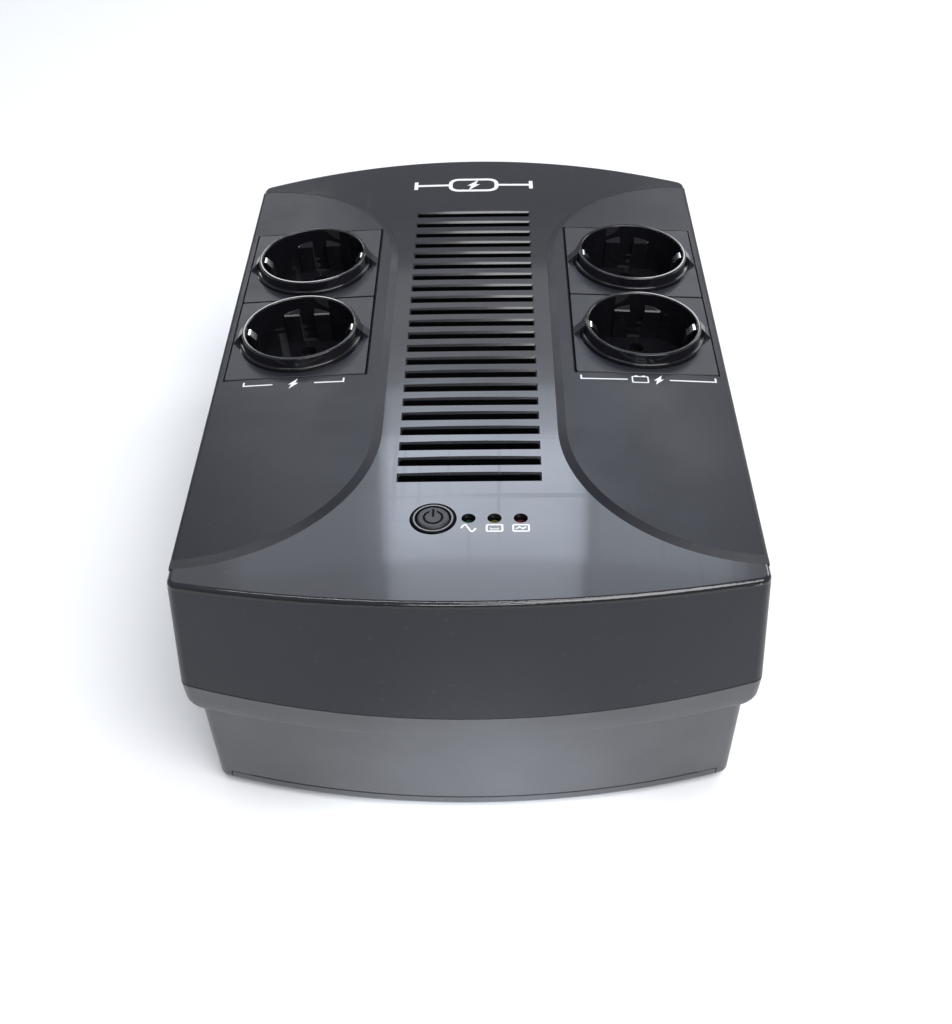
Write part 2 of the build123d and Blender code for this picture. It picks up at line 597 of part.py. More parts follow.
for x, y in TRAFO_FEET:
    s = 1 if x > TRAFO_X else -1
    inner = TRAFO_X + s * (CORE_W / 2 + 0.05)
    outer = TRAFO_X + s * (CORE_W / 2 + 10)
    foot = block(min(inner, outer), max(inner, outer), y - 7, y + 7, 7.05, 8.65)
    strap += foot
for x, y in TRAFO_FEET:
    strap -= post(x, y, 0, 20, 1.9)
NODES["transformer_bracket"] = strap
NODES["transformer_screws"] = merge([
    screw(x, y, 8.65 + 2.0, 3.4, 2.0, 1.4, 5.6, up=False) for x, y in TRAFO_FEET
])

# ------------------------------------------------------------ main board
PCB_Z = BOARD_BASE + 1.6
pcb = block(4, 84, -26, 98, BOARD_BASE, PCB_Z)
for x, y in BOARD_POSTS:
    pcb -= post(x, y, 0, 30, 1.6)
pcb -= block(68, 90, 94, 99, 0, 30)
NODES["main_board"] = pcb
board_screws += [screw(x, y, PCB_Z + 1.8, 2.7, 1.8, 1.05, 6.0, up=False) for x, y in BOARD_POSTS]
NODES["board_screws"] = merge(board_screws)


def heat_sink(x, y):
    """Finned extrusion standing on the board."""
    base = block(x - 1.5, x + 1.5, y - 22, y + 22, PCB_Z, PCB_Z + 34)
    for i in range(8):
        z = PCB_Z + 3 + 4.1 * i
        base += block(x + 1.4, x + 11, y - 22, y + 22, z, z + 1.3)
    return base


NODES["heat_sinks"] = merge([heat_sink(22.0, 20.0), heat_sink(46.0, 20.0)])
fets = []
for x in (22.0, 46.0):
    for y in (6.0, 20.0, 34.0):
        pack_ = block(x - 6.0, x - 1.52, y - 5, y + 5, PCB_Z + 9, PCB_Z + 18)
        pack_ += block(x - 2.8, x - 1.52, y - 5, y + 5, PCB_Z + 9, PCB_Z + 24.5)
        for dy in (-2.54, 0, 2.54):
            pack_ += block(x - 4.2, x - 3.4, y + dy - 0.4, y + dy + 0.4, PCB_Z, PCB_Z + 9.2)
        fets.append(pack_)
NODES["power_transistors"] = merge(fets)
NODES["relays"] = merge([
    fillet(block(66, 82, y - 9, y + 9, PCB_Z, PCB_Z + 18).edges().filter_by(Axis.Z), radius=0.8)
    for y in (2.0, 24.0, 46.0)
])
caps = []
CAPACITORS = (
    (14.0, 58.0, 6.3, 26.0),
    (30.0, 58.0, 6.3, 26.0),
    (46.0, 58.0, 5.0, 20.0),
    (16.0, 76.0, 4.0, 12.0),
)
for x, y, r, h in CAPACITORS:
    can = post(x, y, PCB_Z, PCB_Z + h, r)
    caps.append(fillet(can.edges().sort_by(Axis.Z)[-1:], radius=0.8))
NODES["electrolytic_capacitors"] = merge(caps)
NODES["film_capacitors"] = merge([
    fillet(block(52, 61, 66 - 13, 66 + 13, PCB_Z, PCB_Z + 16).edges().filter_by(Axis.Z), radius=1.0),
    fillet(block(66, 74, 72 - 9, 72 + 9, PCB_Z, PCB_Z + 14).edges().filter_by(Axis.Z), radius=1.0),
])
buzzer = post(32.0, 80.0, PCB_Z, PCB_Z + 9.5, 6.0) - post(32.0, 80.0, PCB_Z + 8.0, PCB_Z + 12, 1.2)
NODES["buzzer"] = buzzer
NODES["controller_chips"] = merge([
    block(20, 36, -16, -8, PCB_Z, PCB_Z + 2.4),
    block(44, 54, -16, -10, PCB_Z, PCB_Z + 2.0),
])
fuse = bar_y(60.4, PCB_Z + 4.2, 22, 42, 2.6) - bar_y(60.4, PCB_Z + 4.2, 27.5, 36.5, 3.0)
glass = bar_y(60.4, PCB_Z + 4.2, 27.52, 36.48, 2.4)
clips = block(57.6, 63.2, 23, 26, PCB_Z, PCB_Z + 4.0) + block(57.6, 63.2, 38, 41, PCB_Z, PCB_Z + 4.0)
NODES["fuse_ends"] = merge([(fuse + clips)])
NODES["fuse_glass"] = glass

# ------------------------------------------------------------ back connectors
def c14_outline(w, h, cut):
    """Rectangle with two bevelled corners at the top."""
    return make_face([
        Line((-w / 2, -h / 2), (w / 2, -h / 2)),
        Line((w / 2, -h / 2), (w / 2, h / 2 - cut)),
        Line((w / 2, h / 2 - cut), (w / 2 - cut, h / 2)),
        Line((w / 2 - cut, h / 2), (-w / 2 + cut, h / 2)),
        Line((-w / 2 + cut, h / 2), (-w / 2, h / 2 - cut)),
        Line((-w / 2, h / 2 - cut), (-w / 2, -h / 2)),
    ])


def rear(face, y0, y1, x, z=REAR_ZC):
    """Prism of a face drawn as seen from behind, between two depths."""
    solid = extrude(face, amount=y1 - y0)
    return Pos(x, y1, z) * Rot(90, 0, 0) * solid


inlet_hole = rear(c14_outline(27.4, 20.2, 4.0), 120, 140, INLET_X)
inlet = rear(c14_outline(27.0, 19.8, 4.0), 112.0, REAR_FLAT + 0.5, INLET_X)
frame_face = fillet(Rectangle(31.5, 24.5).vertices(), radius=2.0)
inlet += rear(frame_face, REAR_FLAT + 0.02, REAR_FLAT + 2.6, INLET_X)
inlet = chamfer(
    [e for e in inlet.edges() if abs(e.center().Y - REAR_FLAT - 2.6) < 0.01],
    length=0.5,
)
inlet -= rear(c14_outline(24.0, 16.4, 3.6), REAR_FLAT + 2.6 - 17.5, REAR_FLAT + 4, INLET_X)
pins = []
for dx, dz in ((-7.0, -2.0), (7.0, -2.0), (0.0, 2.0)):
    reach = REAR_FLAT - 1.0 + (1.5 if dx == 0 else 0.0)
    pin = block(INLET_X + dx - 1.0, INLET_X + dx + 1.0, 104.0, reach, REAR_ZC + dz - 2.0, REAR_ZC + dz + 2.0)
    pins.append(chamfer(pin.faces().sort_by(Axis.Y)[-1].edges(), length=0.5))
for pin in pins:
    inlet -= pin
NODES["mains_inlet"] = inlet
NODES["inlet_pins"] = merge(pins)

barrel_end = REAR_FLAT + 4.6
breaker = block(BREAKER_X - 7, BREAKER_X + 7, 98, REAR_FLAT - WALL - 0.02, REAR_ZC - 14, REAR_ZC + 12)
breaker += bar_y(BREAKER_X, REAR_ZC, REAR_FLAT - WALL - 1, barrel_end, 5.0)
breaker -= bar_y(BREAKER_X, REAR_ZC, 116, barrel_end + 1, 3.6)
breaker -= bar_y(BREAKER_X, REAR_ZC, 116, 123, 4.9)
NODES["breaker_body"] = breaker
nut = extrude(RegularPolygon(8.0, 6), amount=2.6) - Cylinder(5.02, 20)
nut = chamfer(nut.faces().sort_by(Axis.Z)[-1].edges().filter_by(GeomType.LINE), length=0.4)
NODES["breaker_nut"] = Pos(BREAKER_X, REAR_FLAT + 2.62, REAR_ZC) * Rot(-90, 0, 0) * Pos(0, 0, -2.6) * nut
knob = bar_y(BREAKER_X, REAR_ZC, 117.5, barrel_end + 1.6, 3.3)
knob = fillet(knob.edges().sort_by(Axis.Y)[-1:], radius=0.6)
knob += bar_y(BREAKER_X, REAR_ZC, 117.5, 119.0, 4.5)
NODES["breaker_button"] = knob

jacks = []
contacts = []
for x in JACK_X:
    jack = block(x - 8, x + 8, 114, REAR_FLAT + 0.6, REAR_ZC - 7, REAR_ZC + 7)
    jack -= block(x - 5.9, x + 5.9, REAR_FLAT + 0.6 - 13, 140, REAR_ZC - 2.8, REAR_ZC + 4.2)
    jack -= block(x - 3.1, x + 3.1, REAR_FLAT + 0.6 - 13, 140, REAR_ZC - 4.4, REAR_ZC - 2.7)
    jack -= block(x - 2.0, x + 2.0, REAR_FLAT + 0.6 - 13, 140, REAR_ZC - 5.6, REAR_ZC - 4.3)
    jacks.append(jack)
    for i in range(8):
        cx = x - 3.57 + 1.02 * i
        wirelet = make_face([
            Line((REAR_FLAT - 12.2, REAR_ZC + 4.15), (REAR_FLAT - 3.2, REAR_ZC + 4.15)),
            Line((REAR_FLAT - 3.2, REAR_ZC + 4.15), (REAR_FLAT - 3.2, REAR_ZC + 3.7)),
            Line((REAR_FLAT - 3.2, REAR_ZC + 3.7), (REAR_FLAT - 10.4, REAR_ZC + 1.6)),
            Line((REAR_FLAT - 10.4, REAR_ZC + 1.6), (REAR_FLAT - 12.2, REAR_ZC + 1.6)),
            Line((REAR_FLAT - 12.2, REAR_ZC + 1.6), (REAR_FLAT - 12.2, REAR_ZC + 4.15)),
        ])
        contacts.append(Pos(cx, 0, 0) * extrude(Plane.YZ * wirelet, amount=0.2, both=True))
NODES["data_jacks"] = merge(jacks)
NODES["jack_contacts"] = merge(contacts)

usb = block(USB_X - 6, USB_X + 6, 116, REAR_FLAT + 0.4, REAR_ZC - 5.4, REAR_ZC + 5.4)
usb = chamfer([e for e in usb.edges().filter_by(Axis.Y) if e.center().Z > REAR_ZC], length=2.4)
usb -= block(USB_X - 4.3, USB_X + 4.3, REAR_FLAT - 10, 140, REAR_ZC - 4.0, REAR_ZC + 4.0)
NODES["usb_shell"] = usb
tongue = block(USB_X - 2.8, USB_X + 2.8, REAR_FLAT - 9.98, REAR_FLAT - 1.2, REAR_ZC - 1.5, REAR_ZC + 1.5)
NODES["usb_tongue"] = chamfer(tongue.faces().sort_by(Axis.Y)[-1].edges(), length=0.4)

# openings for the connectors
lower_housing -= inlet_hole
lower_housing -= bar_y(BREAKER_X, REAR_ZC, 120, 140, 5.1)
for x in JACK_X:
    lower_housing -= block(x - 8.1, x + 8.1, 120, 140, REAR_ZC - 7.1, REAR_ZC + 7.1)
lower_housing -= block(USB_X - 6.1, USB_X + 6.1, 120, 140, REAR_ZC - 5.5, REAR_ZC + 5.5)
NODES["lower_housing"] = lower_housing

# ------------------------------------------------------------ leads
LEAD_R = 1.2
spades = []
for x in TERM_X:
    spades.append(
        block(x - 3.1, x + 3.1, BATT_Y1 - 2.3, BATT_Y1 + 0.95, TERM_Z - 1.2, TERM_Z + 1.2)
        + bar_y(x, TERM_Z, BATT_Y1 + 0.9, BATT_Y1 + 5.0, 1.9)
        - block(x - 2.42, x + 2.42, BATT_Y1 - 3, BATT_Y1 + 0.42, TERM_Z - 0.42, TERM_Z + 0.42)
    )
NODES["spade_connectors"] = merge(spades)

UP = (0, 0, 1)
DOWN = (0, 0, -1)
BACK = (0, 1, 0)
FORE = (0, -1, 0)
TOP = PCB_Z + 0.02
y_spade = BATT_Y1 + 5.02
rail_z = DECK_Z - crown_drop(OUT_X) - 29.5
clip_z = DECK_Z - crown_drop(OUT_X) - 17.8
leads = {
    "lead_red": [
        wire([(65, y_spade, TERM_Z), (64, -20, 24), (59, -16, TOP)], LEAD_R, BACK, DOWN),
    ],
    "lead_black": [
        wire([(-65, y_spade, TERM_Z), (-52, -14, 24), (-10, -8, 30), (12, -4, TOP)], LEAD_R, BACK, DOWN),
    ],
    "lead_brown": [
        wire([(INLET_X + 7, 103.9, 23.5), (-27, 90, 28), (BREAKER_X - 4, 97.9, 31)], LEAD_R, FORE, BACK),
        wire([(BREAKER_X + 3, 97.9, 18), (-2, 90, 19), (8, 84, TOP)], LEAD_R, FORE, DOWN),
        wire([(61.5, 12, TOP), (62, 14, 44), (64.8, 22, rail_z)], LEAD_R, UP, UP),
        wire([(6.5, 8, TOP), (-6, 9, 42), (-40, 10, 60), (-59.3, 12, rail_z)], LEAD_R, UP, UP),
    ],
    "lead_blue": [
        wire([(INLET_X - 7, 103.9, 23.5), (-40, 90, 22), (-8, 84, 34), (8, 70, TOP)], LEAD_R, FORE, DOWN),
        wire([(61.5, 48, TOP), (61, 46, 44), (59.3, 36, rail_z)], LEAD_R, UP, UP),
        wire([(6.5, 0, TOP), (-7, -4, 40), (-42, -8, 56), (-64.8, -9, rail_z)], LEAD_R, UP, UP),
    ],
    "lead_earth": [
        wire(
            [(INLET_X, 103.9, 27.5), (-36, 92, 36), (-10, 92, 46), (7, 91, 30), (16, 88, TOP)],
            LEAD_R, FORE, DOWN,
        ),
        wire([(61.5, 2, TOP), (62.6, 1.2, 50), (63.3, 1.2, clip_z)], LEAD_R, UP, UP),
        wire([(6.5, 18, TOP), (-10, 15, 46), (-46, 5, 54), (-60.9, 1.2, clip_z)], LEAD_R, UP, UP),
    ],
}
for name, runs in leads.items():
    NODES[name] = merge(runs)

for name, shape in NODES.items():
    export_step(shape, "parts/" + name + ".step")
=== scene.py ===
import json
import math

import bpy
from mathutils import Matrix, Vector

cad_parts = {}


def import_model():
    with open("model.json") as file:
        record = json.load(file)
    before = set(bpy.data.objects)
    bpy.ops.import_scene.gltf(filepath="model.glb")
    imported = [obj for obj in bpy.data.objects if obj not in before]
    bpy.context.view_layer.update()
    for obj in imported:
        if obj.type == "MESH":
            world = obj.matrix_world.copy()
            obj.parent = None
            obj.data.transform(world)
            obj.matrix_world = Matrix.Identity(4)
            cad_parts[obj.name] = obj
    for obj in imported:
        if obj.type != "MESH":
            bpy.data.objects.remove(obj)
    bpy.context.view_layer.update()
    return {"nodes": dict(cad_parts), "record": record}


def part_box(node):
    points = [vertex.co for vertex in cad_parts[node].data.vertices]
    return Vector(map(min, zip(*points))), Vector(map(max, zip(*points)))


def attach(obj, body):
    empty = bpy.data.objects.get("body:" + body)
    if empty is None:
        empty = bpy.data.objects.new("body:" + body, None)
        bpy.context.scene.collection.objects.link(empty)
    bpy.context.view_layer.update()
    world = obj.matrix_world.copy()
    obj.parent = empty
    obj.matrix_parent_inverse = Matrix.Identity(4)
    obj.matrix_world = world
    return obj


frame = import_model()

MM = 0.001
NODES = frame["nodes"]
SLOT_OF = {s["node"]: s["material_slot"] for s in frame["record"]["subparts"]}

# Shape of the case, as the materials and the printed marks follow it
CROWN_R = 1.287                        # the deck is a flat barrel across X
PANEL_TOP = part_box("centre_panel")[1].z
WING_TOP = PANEL_TOP + 1.2 * MM        # the wings stand proud of the panel
COLLAR_OUTER = 23.2 * MM               # outlet collar, over its outer wall
COLLAR_BLEND = 0.2 * MM                # the collar's polish ends over this width
CUP_WALL = 19.95 * MM                  # just inside the wall of a plug recess
GUIDE_TOP = 17.95 * MM                 # the matt part of a guide's top, from the outlet's centre along Y
PLATE_JOINT = 0.42 * MM                # half the shaded joint between two outlet plates
SHELL_JOINT = 0.45 * MM                # shaded joint between a plate and the shell
PANEL_SIDE_JOINT = 0.75 * MM           # the same joint on the side of the panel
SLOT_SHADE = (0.5 * MM, 1.1 * MM)      # painted shade darkens the walls of a cooling slot between these depths
SLOT_LEFT = 0.12                       # what is left of colour and coat inside a slot, under the painted shade

# Shared colours, and the stretch of values that most of a noise or a smudge covers
DUST = (0.32, 0.32, 0.33)
GLOSS_DUST = (0.42, 0.42, 0.44)
SHADOW = (0.001, 0.001, 0.001)
# colour of the painted shade on the walls of the cooling slots
SLOT_PAINTED_SHADE = (0.001, 0.001, 0.0012)
PLATE_COLOR = (0.0145, 0.0152, 0.021)
TYPICAL = (0.3, 0.7)
SMUDGED = (0.35, 0.75)


def centre(node):
    """Middle of a node's box in plan, in millimetres."""
    lo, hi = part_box(node)
    return (lo.x + hi.x) / 2 / MM, (lo.y + hi.y) / 2 / MM


def shade(color, k):
    return tuple(min(1.0, c * k) for c in color)


# ------------------------------------------------------------ node helpers
class Tree:
    """A material under construction. Its methods add nodes and return their output sockets."""

    def __init__(self, name):
        self.mat = bpy.data.materials.new(name)
        self.mat.use_nodes = True
        self.nt = self.mat.node_tree
        self.bsdf = self.nt.nodes["Principled BSDF"]
        self.coord = self.nt.nodes.new("ShaderNodeTexCoord").outputs["Object"]

    def feed(self, sock, value):
        """Link an output to a socket, or set the socket to a plain value."""
        if hasattr(value, "is_output"):
            self.nt.links.new(value, sock)
        elif isinstance(value, (tuple, list)) and sock.type == "RGBA":
            sock.default_value = (*value[:3], 1.0)
        else:
            sock.default_value = value

    def node(self, kind, **inputs):
        n = self.nt.nodes.new(kind)
        for key, value in inputs.items():
            self.feed(n.inputs[key.replace("_", " ")], value)
        return n

    def set(self, **values):
        """Feed the shader's sockets and return the material."""
        for key, value in values.items():
            self.feed(self.bsdf.inputs[key.replace("_", " ")], value)
        return self.mat

    # textures
    def stretch(self, sx, sy, sz, turn=(0, 0, 0)):
        n = self.node("ShaderNodeMapping", Vector=self.coord, Scale=(sx, sy, sz), Rotation=turn)
        return n.outputs["Vector"]

    def noise(self, scale, detail=3.0, rough=0.5, vector=None, distortion=0.0):
        n = self.node("ShaderNodeTexNoise", Scale=scale, Detail=detail, Roughness=rough,
                      Distortion=distortion, Vector=vector or self.coord)
        return n.outputs["Fac"]

    def voronoi(self, scale):
        return self.node("ShaderNodeTexVoronoi", Scale=scale, Vector=self.coord).outputs["Distance"]

    def wave(self, direction, scale, distortion):
        n = self.node("ShaderNodeTexWave", Scale=scale, Distortion=distortion, Vector=self.coord)
        n.bands_direction = direction
        return n.outputs["Fac"]

    def bump(self, height, distance, strength=0.5, normal=None):
        n = self.node("ShaderNodeBump", Height=height, Distance=distance, Strength=strength)
        if normal is not None:
            self.feed(n.inputs["Normal"], normal)
        return n.outputs["Normal"]

    # arithmetic
    def maths(self, op, a, b=0.0):
        n = self.nt.nodes.new("ShaderNodeMath")
        n.operation = op
        self.feed(n.inputs[0], a)
        self.feed(n.inputs[1], b)
        return n.outputs[0]

    def plus(self, a, b):
        return self.maths("ADD", a, b)

    def minus(self, a, b):
        return self.maths("SUBTRACT", a, b)

    def times(self, a, b):
        return self.maths("MULTIPLY", a, b)

    def most(self, a, b):
        return self.maths("MAXIMUM", a, b)

    def size(self, a):
        return self.maths("ABSOLUTE", a)

    def below(self, value, limit):
        return self.maths("LESS_THAN", value, limit)

    def above(self, value, limit):
        return self.maths("GREATER_THAN", value, limit)

    def inside(self, value, lo, hi):
        """One where value is between lo and hi, else zero."""
        return self.times(self.above(value, lo), self.below(value, hi))

    def hypot(self, a, b):
        return self.maths("SQRT", self.plus(self.times(a, a), self.times(b, b)))

    def span(self, value, lo, hi, from_lo=0.0, from_hi=1.0):
        n = self.node("ShaderNodeMapRange", Value=value, From_Min=from_lo, From_Max=from_hi,
                      To_Min=lo, To_Max=hi)
        return n.outputs["Result"]

    def vary(self, value, lo, hi):
        """Spread what a noise usually covers from lo to hi."""
        return self.span(value, lo, hi, *TYPICAL)

    # colour
    def mix(self, fac, a, b):
        n = self.nt.nodes.new("ShaderNodeMix")
        n.data_type = "RGBA"
        for index, value in ((0, fac), (6, a), (7, b)):
            self.feed(n.inputs[index], value)
        return n.outputs[2]

    def blotch(self, value, a, b):
        """Two colours in soft patches."""
        return self.mix(self.vary(value, 0.0, 1.0), a, b)

    def specks(self, base, value, amount, reach, color):
        """Sparse flecks of another colour, at most amount of it."""
        return self.mix(self.span(value, 0.0, amount, *reach), base, color)

    # position
    def axes(self):
        n = self.nt.nodes.new("ShaderNodeSeparateXYZ")
        self.feed(n.inputs[0], self.coord)
        return n.outputs

    def depth(self, top):
        """How far a point lies under the barrel-shaped deck whose crown is at top."""
        across, _, up = self.axes()
        arc = self.minus(CROWN_R * CROWN_R, self.times(across, across))
        return self.minus(self.plus(self.maths("SQRT", arc), top - CROWN_R), up)


# ------------------------------------------------------------ kinds of material
def moulding(name, color, rough=0.45, grain=2600.0, depth=0.00002, spread=0.12):
    """Textured plastic: fine spark grain, faint flow marks, dust and handling polish."""
    t = Tree(name)
    flow = t.noise(14.0, detail=4.0, rough=0.6, vector=t.stretch(1.0, 0.35, 1.0))
    dust = t.noise(420.0, detail=5.0, rough=0.7)
    base = t.blotch(flow, shade(color, 1 - spread), shade(color, 1 + spread))
    base = t.specks(base, dust, 0.10, (0.62, 0.80), DUST)
    rub = t.noise(38.0, detail=5.0, rough=0.65)
    gloss = t.vary(rub, rough - 0.07, rough + 0.07)
    fine = t.noise(grain * 1.7, detail=2.0)
    height = t.plus(t.voronoi(grain), t.times(fine, 0.6))
    t.set(Normal=t.bump(height, depth, 0.55))
    return t, base, gloss


def moulded(name, color, **look):
    t, base, gloss = moulding(name, color, **look)
    return t.set(Base_Color=base, Roughness=gloss)


def joint_mask(t):
    """Shaded joint between the shell and the outlet plates, widest towards the panel."""
    (x0, y0, _), (x1, _, _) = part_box("outlet_front_right")
    y1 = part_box("outlet_back_right")[1].y
    across, along, _ = t.axes()
    in_x = t.inside(t.size(across), x0 - PANEL_SIDE_JOINT, x1 + SHELL_JOINT)
    in_y = t.inside(along, y0 - SHELL_JOINT, y1 + SHELL_JOINT)
    return t.times(in_x, in_y)


def shell(name, color, spec, **look):
    """Textured plastic with the shaded joint around the outlet plates."""
    t, base, gloss = moulding(name, color, **look)
    joint = joint_mask(t)
    return t.set(Base_Color=t.mix(joint, base, SHADOW), Roughness=t.most(gloss, joint), Specular_IOR_Level=spec)


def polish(name, color, rough, marks):
    """High-gloss plastic: hairline scratches, smudges and a very slight ripple."""
    t = Tree(name)
    cloud = t.noise(9.0)
    base = t.blotch(cloud, shade(color, 0.85), shade(color, 1.2))
    dust = t.noise(900.0, rough=0.7)
    base = t.specks(base, dust, 0.22, (0.70, 0.82), GLOSS_DUST)
    smudge = t.noise(30.0, detail=6.0, rough=0.62, distortion=0.8)
    hair = t.noise(260.0, detail=2.0, rough=0.4, vector=t.stretch(1.0, 0.03, 1.0, (0, 0, 0.5)))
    cross = t.noise(240.0, detail=2.0, rough=0.4, vector=t.stretch(0.03, 1.0, 1.0, (0, 0, 0.2)))
    lines = t.most(t.span(hair, 0.0, 1.0, 0.66, 0.74), t.span(cross, 0.0, 1.0, 0.68, 0.76))
    gloss = t.plus(t.span(smudge, rough, rough + marks, *SMUDGED), t.times(lines, 0.08))
    ripple = t.bump(t.noise(22.0, detail=2.0), 0.00003, 0.6)
    t.set(Normal=t.bump(lines, 0.000004, normal=ripple), Coat_Roughness=0.05)
    return t, base, gloss


def glossy(name, color, rough, coat, marks=0.08):
    t, base, gloss = polish(name, color, rough, marks)
    return t.set(Base_Color=base, Roughness=gloss, Coat_Weight=coat)


def slotted(name, color, rough, coat, marks):
    """Gloss panel with painted shade in its cooling slots: below the face their walls turn black and lose their
    coat.
    """
    t, base, gloss = polish(name, color, rough, marks)
    face = t.span(t.depth(PANEL_TOP), 1.0, SLOT_LEFT, *SLOT_SHADE)
    # painted shade: black slot walls below the face of the panel
    return t.set(Base_Color=t.mix(face, SLOT_PAINTED_SHADE, base), Roughness=gloss, Coat_Weight=t.times(face, coat))


def control(name, color, node, ring, line_color, line_rough, rough, spec, stem=None):
    """Gloss control with a ring of another colour about its own centre, opened by the stem of a power symbol.
    On the bezel the ring is a painted highlight; on the button it is a dark power symbol. Sizes in mm.
    """
    t, base, gloss = polish(name, color, rough, marks=0.08)
    x, y = centre(node)
    across, along, _ = t.axes()
    right = t.minus(across, x * MM)
    ahead = t.minus(along, y * MM)
    mask = t.inside(t.hypot(right, ahead), ring[0] * MM, ring[1] * MM)
    if stem:
        half, low, high, opening = (v * MM for v in stem)
        off = t.size(right)
        gap = t.times(t.below(off, opening), t.above(ahead, 0.0))
        bar = t.times(t.below(off, half), t.inside(ahead, low, high))
        mask = t.most(t.times(mask, t.minus(1.0, gap)), bar)
    gloss = t.most(gloss, t.times(mask, line_rough))
    return t.set(Base_Color=t.mix(mask, base, line_color), Roughness=gloss, Specular_IOR_Level=spec)


def outlet(name, color, spec):
    """Outlet insert: satin plate, and a polished collar and cup around each centre."""
    t = Tree(name)
    (x, y1), (_, y2) = centre("outlet_front_right"), centre("outlet_back_right")
    across, along, _ = t.axes()
    middle = t.minus(along, (y1 + y2) / 2 * MM)
    right = t.minus(t.size(across), x * MM)
    ahead = t.minus(t.size(middle), (y2 - y1) / 2 * MM)
    radius = t.hypot(right, ahead)
    plate = t.span(radius, 0.0, 1.0, COLLAR_OUTER, COLLAR_OUTER + COLLAR_BLEND)
    cloud = t.noise(16.0, detail=4.0, rough=0.6)
    base = t.mix(plate, t.blotch(cloud, shade(color, 0.85), shade(color, 1.2)), PLATE_COLOR)
    dust = t.noise(520.0, detail=5.0, rough=0.7)
    base = t.specks(base, dust, 0.10, (0.64, 0.80), DUST)
    smudge = t.noise(34.0, detail=6.0, rough=0.62, distortion=0.8)
    polished = t.span(smudge, 0.06, 0.11, *SMUDGED)
    satin = t.span(smudge, 0.34, 0.44, *SMUDGED)
    gloss = t.plus(polished, t.times(plate, t.minus(satin, polished)))
    ripple = t.bump(t.noise(40.0, detail=2.0), 0.00002)
    normal = t.bump(t.times(plate, t.voronoi(2800.0)), 0.000012, normal=ripple)
    joint = t.inside(middle, -PLATE_JOINT, PLATE_JOINT)
    guides = t.times(t.below(radius, CUP_WALL), t.above(t.size(ahead), GUIDE_TOP))
    gloss = t.most(gloss, t.most(joint, guides))
    return t.set(Base_Color=t.mix(joint, base, SHADOW), Roughness=gloss, Normal=normal, Specular_IOR_Level=spec)


def metal(name, color, rough, brush=(1.0, 0.04, 1.0), tarnish=0.25):
    """Plated or drawn metal with fine directional lines and dull patches."""
    t = Tree(name)
    lines = t.noise(1500.0, rough=0.6, vector=t.stretch(*brush))
    cloud = t.noise(110.0, detail=4.0, rough=0.6)
    base = t.specks(color, cloud, tarnish, (0.4, 0.8), shade(color, 0.45))
    base = t.specks(base, lines, 0.25, TYPICAL, shade(color, 1.25))
    gloss = t.plus(t.vary(lines, rough - 0.08, rough + 0.08), t.span(cloud, 0.0, 0.10, 0.4, 0.8))
    return t.set(Base_Color=base, Metallic=1.0, Roughness=gloss, Normal=t.bump(lines, 0.000006))


def rubber(name, color):
    t = Tree(name)
    cloud = t.noise(70.0, detail=4.0, rough=0.6)
    normal = t.bump(t.noise(1800.0, detail=4.0, rough=0.7), 0.00004, 0.6)
    return t.set(Base_Color=t.blotch(cloud, color, shade(color, 2.0)), Roughness=t.vary(cloud, 0.72, 0.92),
                 Normal=normal)


def lens(name, color, deep):
    """Tinted clear moulding with a little internal cloud."""
    t = Tree(name)
    cloud = t.noise(900.0, rough=0.6)
    normal = t.bump(t.noise(1500.0, detail=2.0), 0.00001, 0.4)
    return t.set(Base_Color=t.blotch(cloud, color, deep), Roughness=t.vary(cloud, 0.10, 0.22), Normal=normal,
                 Transmission_Weight=0.35, Coat_Weight=0.5, Coat_Roughness=0.05, IOR=1.49)


def board(name, color):
    """Solder mask over copper tracks."""
    t = Tree(name)
    tracks = t.node("ShaderNodeTexBrick", Scale=120.0, Vector=t.coord, Mortar_Size=0.035,
                    Brick_Width=0.9, Row_Height=0.32).outputs["Fac"]
    grain = t.noise(500.0, rough=0.6)
    base = t.blotch(grain, shade(color, 0.85), shade(color, 1.15))
    base = t.mix(t.times(tracks, 0.55), base, shade(color, 2.1))
    return t.set(Base_Color=base, Roughness=t.vary(grain, 0.28, 0.42), Normal=t.bump(tracks, 0.00003))


def laminated(name, color, rust):
    """Stacked core sheets under varnish."""
    t = Tree(name)
    sheets = t.wave("Y", scale=100.0, distortion=0.4)
    cloud = t.noise(60.0, detail=4.0, rough=0.6)
    base = t.mix(t.span(sheets, 0.0, 1.0), shade(color, 0.6), shade(color, 1.3))
    base = t.specks(base, cloud, 0.4, (0.5, 0.8), rust)
    return t.set(Base_Color=base, Metallic=0.7, Roughness=t.vary(cloud, 0.35, 0.55),
                 Normal=t.bump(sheets, 0.00005))


def winding(name, color):
    """Tape wrapped over enamelled wire."""
    t = Tree(name)
    turns = t.wave("Z", scale=240.0, distortion=0.6)
    base = t.mix(t.span(turns, 0.0, 1.0), shade(color, 0.7), shade(color, 1.2))
    return t.set(Base_Color=base, Roughness=t.span(turns, 0.2, 0.35), Coat_Weight=0.4,
                 Normal=t.bump(turns, 0.0001))


def clear_glass(name, color):
    t = Tree(name)
    cloud = t.noise(300.0)
    return t.set(Base_Color=color, Roughness=t.vary(cloud, 0.03, 0.08), Transmission_Weight=0.9, IOR=1.5,
                 Normal=t.bump(cloud, 0.00001, 0.3))


def ink(name, color):
    """Screen-printed ink: thin, slightly uneven."""
    t = Tree(name)
    grain = t.noise(3000.0, rough=0.6)
    return t.set(Base_Color=t.blotch(grain, shade(color, 0.86), color), Roughness=t.vary(grain, 0.35, 0.5),
                 Normal=t.bump(grain, 0.00001))


# ------------------------------------------------------------ the object's materials
MATERIALS = {}


def material(make, name, *colors, **look):
    MATERIALS[name] = make(name, *colors, **look)


